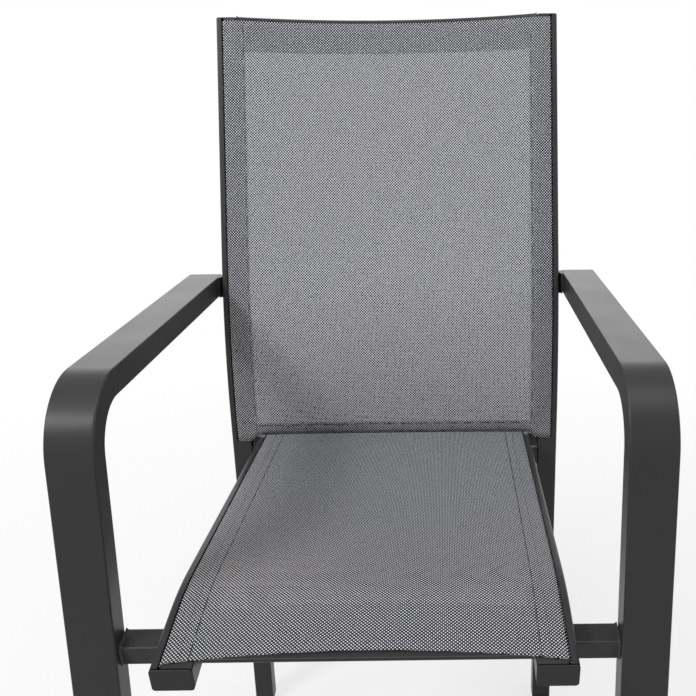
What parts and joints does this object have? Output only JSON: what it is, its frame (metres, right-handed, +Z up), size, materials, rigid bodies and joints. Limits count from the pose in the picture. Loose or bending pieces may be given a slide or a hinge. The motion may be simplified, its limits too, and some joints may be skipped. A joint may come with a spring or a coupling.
{
  "type": "sling patio chair",
  "caption": "High-back outdoor armchair: anthracite aluminium frame with a separate stretched mesh sling for the back and for the seat, armrests bent down into the front legs.",
  "frame": {"origin": "on the floor under the middle of the chair's bounding box", "axes": "+Z up, -Y is the way the chair faces, +X to the right of someone looking at its front; X = 0 is the plane of symmetry"},
  "size_m": [0.56, 0.6624, 1.013],
  "materials": {
    "powder_coat": "satin anthracite powder coat on aluminium, fine grain",
    "sling_fabric": "coated polyester mesh, black and light grey basket weave",
    "black_plastic": "matt moulded black plastic",
    "stainless_steel": "plain stainless steel"
  },
  "bodies": {
    "root": {"post_left": "powder_coat", "post_right": "powder_coat", "post_cap_left": "powder_coat", "post_cap_right": "powder_coat", "back_top_bar": "powder_coat", "back_sling": "sling_fabric", "back_spline_left": "black_plastic", "back_spline_right": "black_plastic", "arm_and_front_leg_left": "powder_coat", "arm_and_front_leg_right": "powder_coat", "arm_end_plate_left": "powder_coat", "arm_end_plate_right": "powder_coat", "arm_lug_left": "powder_coat", "arm_lug_right": "powder_coat", "seat_rail_left": "powder_coat", "seat_rail_right": "powder_coat", "seat_lug_left": "powder_coat", "seat_lug_right": "powder_coat", "seat_rail_front_cap_left": "black_plastic", "seat_rail_front_cap_right": "black_plastic", "seat_rail_rear_cap_left": "black_plastic", "seat_rail_rear_cap_right": "black_plastic", "seat_front_spreader": "powder_coat", "seat_rear_spreader": "powder_coat", "seat_sling": "sling_fabric", "seat_spline_left": "black_plastic", "seat_spline_right": "black_plastic", "front_crossbar": "powder_coat", "rear_crossbar": "powder_coat", "seat_bolt_front_left": "stainless_steel", "seat_bolt_front_right": "stainless_steel", "seat_bolt_rear_left": "stainless_steel", "seat_bolt_rear_right": "stainless_steel", "seat_nut_front_left": "stainless_steel", "seat_nut_front_right": "stainless_steel", "seat_nut_rear_left": "stainless_steel", "seat_nut_rear_right": "stainless_steel", "rear_glide_left": "black_plastic", "rear_glide_right": "black_plastic", "front_glide_left": "black_plastic", "front_glide_right": "black_plastic"}
  },
  "joints": []
}
